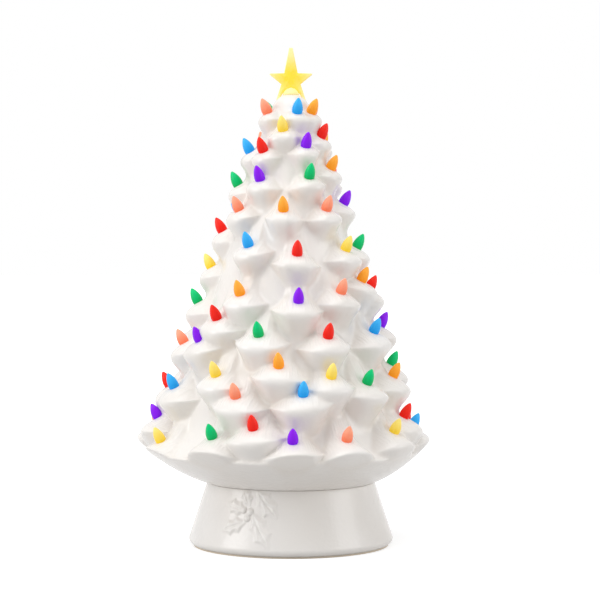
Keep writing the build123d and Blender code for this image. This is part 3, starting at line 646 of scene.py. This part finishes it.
# Sector that holds the sprig, in radians from the front, and the columns in and outside it
SPRIG_SECTOR = (-0.85, -0.1)
SPRIG_COLUMNS = 190
PLAIN_COLUMNS = 200
FOOT_CENTRE = (118.6, 9.0)
FOOT_ROUNDING = (6.7, 7.0)
SIDE_Z = (12.0, 76.6)
SIDE_ROWS = 72
SIDE_STAND = 0.2
SIDE_SLOPE = 0.322
SIDE_SWELL = 0.25
BASE_LIP = np.array([(103.3, 77.5), (103.1, 77.85), (102.7, SEAT_Z)])
# Radii and heights of the collar, the hollow and the rebate of the plate
BASE_INSIDE = np.array([
    (100, SEAT_Z), (86.4, SEAT_Z), (86, 78.4), (86, 87.2), (85.2, 88), (80.8, 88), (80, 87.2),
    (80, 71.4), (80.4, 71), (95.6, 71), (96, 70.6), (117.6, 10.4), (117.2, 10), (94.4, 10),
    (94, 9.6), (94, 5.4), (94.4, 5), (98, 5), (98.4, 4.6), (98.4, 2.2), (98.7, 2),
])


def holly_relief(s, v):
    """Height of the sprig on the unrolled side at s round the base and v above the table.

    A leaf's half width follows a power of a half sine from foot to tip, cut back between the spines by
    a rectified sine. It rises over a soft bevel, has veins that are a slanting cosine, and a groove
    along its midrib. A berry is a low ball. Leaves and berries are joined by a maximum.
    """
    relief = np.zeros(np.broadcast(s, v).shape)
    for (s0, v0), (s1, v1), half in HOLLY_LEAVES:
        length = np.hypot(s1 - s0, v1 - v0)
        ds, dv = (s1 - s0) / length, (v1 - v0) / length
        p = ((s - s0) * ds + (v - v0) * dv) / length
        q = np.abs((s - s0) * dv - (v - v0) * ds)
        inside = np.clip(p, 0, 1)
        lobes = 1 - LOBE_DEPTH * np.abs(np.sin(LEAF_LOBES * pi * inside))
        width = half * np.sin(pi * inside) ** LEAF_FULLNESS * lobes
        body = smoothstep(*BEVEL, width - q)
        midrib = MIDRIB_DEPTH * np.exp(-(q / MIDRIB_WIDTH) ** 2) * smoothstep(0, 0.15, inside)
        veins = VEIN_DEPTH * np.cos(2 * LEAF_LOBES * pi * inside - VEIN_SLANT * q)
        leaf = LEAF_HEIGHT * body * (1 + veins - midrib)
        relief = np.maximum(relief, np.where((p > 0) & (p < 1), leaf, 0))
    for s0, v0, r in HOLLY_BERRIES:
        ball = np.sqrt(np.clip(r ** 2 - (s - s0) ** 2 - (v - v0) ** 2, 0, None))
        relief = np.maximum(relief, BERRY_BULGE * ball)
    return relief


def pedestal():
    """Flared base: a closed profile of radius and height turned about the axis, with the holly on it.

    The columns stand closer together round the sprig. The side swells a little, by a sine round the
    base times a half sine up it.
    """
    left, right = SPRIG_SECTOR
    sprig = np.linspace(left, right, SPRIG_COLUMNS, endpoint=False)
    plain = np.linspace(right, 2 * pi + left, PLAIN_COLUMNS, endpoint=False)
    theta = np.concatenate([sprig, plain])
    foot_turn = np.linspace(-pi / 2, 0.2, 12)
    foot_circle = np.stack([np.cos(foot_turn), np.sin(foot_turn)], axis=1)
    foot = np.array(FOOT_CENTRE) + np.array(FOOT_ROUNDING) * foot_circle
    side_z = np.linspace(*SIDE_Z, SIDE_ROWS)
    side_r = BASE_TOP_RADIUS + SIDE_STAND + (SEAT_Z - side_z) * SIDE_SLOPE
    side = np.stack([side_r, side_z], axis=1)
    profile = np.concatenate([foot, side, BASE_LIP, BASE_INSIDE])
    r = profile[:, :1] * np.ones(len(theta))
    z = profile[:, 1:] * np.ones(len(theta))
    on_side = slice(len(foot), len(foot) + len(side))
    around = (theta + pi) % (2 * pi) - pi
    r[on_side] += holly_relief(UNROLL_RADIUS * around[None, :], z[on_side])
    up_to_lip = slice(on_side.stop + 1)
    upright = np.sin(pi * np.clip(z[up_to_lip] / SEAT_Z, 0, 1))
    r[up_to_lip] += SIDE_SWELL * np.sin(3 * theta + 1) * upright
    points = np.stack([r * np.sin(theta), -r * np.cos(theta), z], axis=-1)
    quads = grid_quads(len(profile), len(theta), close_rows=True)
    add_piece("pedestal", points, quads, glaze, "base", "white_glaze", ["base_pedestal"])


pedestal()


# Finishes of the pieces that keep their solid's shape

FINISHES = {
    # Die-cut wool felt: matt, fuzzy and warm grey
    "foot_pad": grained("wool_felt", "#D6C7B1", "#E6DACA", 1.2, 0.92, bump_mm=0.4),
    # Injection-moulded ABS with a spark-eroded grain: an even satin, off-white or black
    "base_plate": grained("white_abs", "#D8D7D1", "#E6E5E0", 1.0, 0.5),
    "switch_housing": grained("black_abs", "#1E1E20", "#303033", 1.0, 0.5),
    # Nickel-plated spring steel, rolled and stamped: a warm silver with blurred reflections
    "plate_contacts": grained("nickel_plate", "#A9A8A4", "#C9C8C4", 0.8, 0.32, metallic=1.0),
    # White solder mask printed over glass-fibre laminate: a faintly woven half gloss
    "led_board": grained("solder_mask", "#D3D8D2", "#E6EAE4", 0.6, 0.4),
    # Yellow phosphor cast in a silicone cap: small warm lights
    "leds": grained("phosphor", "#F2D772", "#F8E6A0", 0.4, 0.4, glow=1.5),
    # Bead-blasted polycarbonate, lit from below: milky and softly glowing
    "diffuser": grained("frosted_polycarbonate", "#EFEBE0", "#F8F5EE", 0.5, 0.6, glow=0.35),
    # Extruded PVC insulation: smooth, waxy red or black
    "lead_battery": grained("red_pvc", "#A02022", "#BC3234", 0.7, 0.45),
    "lead_return": grained("black_pvc", "#18181A", "#2A2A2D", 0.7, 0.45),
    # Plastic sleeve shrunk over a steel can: a plain slate grey gloss
    "battery_1": grained("cell_sleeve", "#3E484F", "#58636B", 2.5, 0.3),
}
SAME_FINISH = {
    "battery_door": "base_plate", "light_post": "base_plate", "switch_knob": "switch_housing",
    "leaf_contacts": "plate_contacts", "post_screws": "plate_contacts",
    "lead_switched": "lead_battery", "battery_2": "battery_1", "battery_3": "battery_1",
}
for name in (*FINISHES, *SAME_FINISH):
    finish = FINISHES[SAME_FINISH.get(name, name)]
    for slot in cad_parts[name].material_slots:
        slot.material = finish


# Camera, level with the middle of the tree and a little above it. Lengths are metres from here on.

CAMERA_DISTANCE = 2.6
CAMERA_ELEVATION = radians(2.02)
CAMERA_TARGET_Z = 0.301
CAMERA_X = 0.01107
FOCAL_PIXELS = 2114.8
FRAME_PIXELS = 600
SENSOR_WIDTH = 36
camera_data = bpy.data.cameras.new("camera")
camera_data.sensor_width = SENSOR_WIDTH
camera_data.lens = SENSOR_WIDTH * FOCAL_PIXELS / FRAME_PIXELS
camera = bpy.data.objects.new("camera", camera_data)
camera.location = (
    CAMERA_X,
    -CAMERA_DISTANCE * cos(CAMERA_ELEVATION),
    CAMERA_TARGET_Z + CAMERA_DISTANCE * sin(CAMERA_ELEVATION),
)
camera.rotation_euler = (pi / 2 - CAMERA_ELEVATION, 0, 0)
bpy.context.scene.collection.objects.link(camera)
bpy.context.scene.camera = camera


# Stage and light

FLOOR_RADIUS = 14
FLOOR_SIDES = 64
SKY_LIGHT = 0.5
LAMP_AIM = (0, 0, 0.3)


def seen_rays(tree):
    """1 for rays that show the background itself or its mirror image, else 0."""
    path = add(tree, "ShaderNodeLightPath").outputs
    pair = add(tree, "ShaderNodeMath", {0: path["Is Camera Ray"], 1: path["Is Glossy Ray"]},
               operation="MAXIMUM")
    return add(tree, "ShaderNodeMath", {0: pair.outputs[0], 1: path["Is Transmission Ray"]},
               operation="MAXIMUM").outputs[0]


def studio_floor():
    """White paper sweep: a wide disc, lifted towards white for the rays that show it.

    The lift grows with the distance from the tree, so that its shadow stays. From below it is clear.
    """
    material, tree, shader = new_material("white_paper")
    feed(tree, shader, {"Base Color": linear("#CCCCCC"), "Roughness": 0.9, "Specular IOR Level": 0.1})
    place = add(tree, "ShaderNodeTexCoord").outputs["Object"]
    away = add(tree, "ShaderNodeVectorMath", {0: place}, operation="LENGTH")
    level = add(tree, "ShaderNodeMapRange",
                {"Value": away.outputs["Value"], "From Min": 0.3, "From Max": 2.5,
                 "To Min": 0.62, "To Max": 1.0})
    lift = add(tree, "ShaderNodeMath", {0: seen_rays(tree), 1: level.outputs["Result"]},
               operation="MULTIPLY")
    glow = add(tree, "ShaderNodeEmission", {"Strength": lift.outputs[0]})
    total = add(tree, "ShaderNodeAddShader", {0: shader.outputs["BSDF"], 1: glow.outputs[0]})
    behind = add(tree, "ShaderNodeNewGeometry").outputs["Backfacing"]
    clear = add(tree, "ShaderNodeBsdfTransparent")
    both = add(tree, "ShaderNodeMixShader", {0: behind, 1: total.outputs[0], 2: clear.outputs[0]})
    feed(tree, tree.nodes["Material Output"], {"Surface": both.outputs[0]})
    turn = np.linspace(0, 2 * pi, FLOOR_SIDES, endpoint=False)
    flat = np.stack([np.cos(turn), np.sin(turn), np.zeros(FLOOR_SIDES)], axis=1)
    mesh = bpy.data.meshes.new("floor")
    mesh.from_pydata(FLOOR_RADIUS * flat, [], [list(range(FLOOR_SIDES))])
    mesh.materials.append(material)
    floor = bpy.data.objects.new("floor", mesh)
    bpy.context.scene.collection.objects.link(floor)


def studio_sky():
    """White surround: full white for the rays that show it, and half as bright as a light."""
    world = bpy.data.worlds.new("studio")
    bpy.context.scene.world = world
    world.use_nodes = True
    tree = world.node_tree
    strength = add(tree, "ShaderNodeMapRange",
                   {"Value": seen_rays(tree), "To Min": SKY_LIGHT, "To Max": 1.0})
    feed(tree, tree.nodes["Background"],
         {"Color": linear("#FFFFFF"), "Strength": strength.outputs["Result"]})


def softbox(name, place, size, watts):
    """Large square lamp that faces the middle of the tree."""
    data = bpy.data.lights.new(name, "AREA")
    data.size = size
    data.energy = watts
    lamp = bpy.data.objects.new(name, data)
    x, y, z = np.array(place) - np.array(LAMP_AIM)
    lamp.location = place
    lamp.rotation_euler = (np.arctan2(np.hypot(x, y), z), 0, np.arctan2(x, -y))
    bpy.context.scene.collection.objects.link(lamp)


studio_floor()
studio_sky()
softbox("key", (-2.6, -1.1, 1.3), 1.6, 33)
softbox("overhead", (-0.3, -0.7, 2.4), 2.2, 27)
softbox("fill", (2.6, -0.9, 0.9), 1.6, 20)
bpy.context.scene.view_settings.view_transform = "Standard"
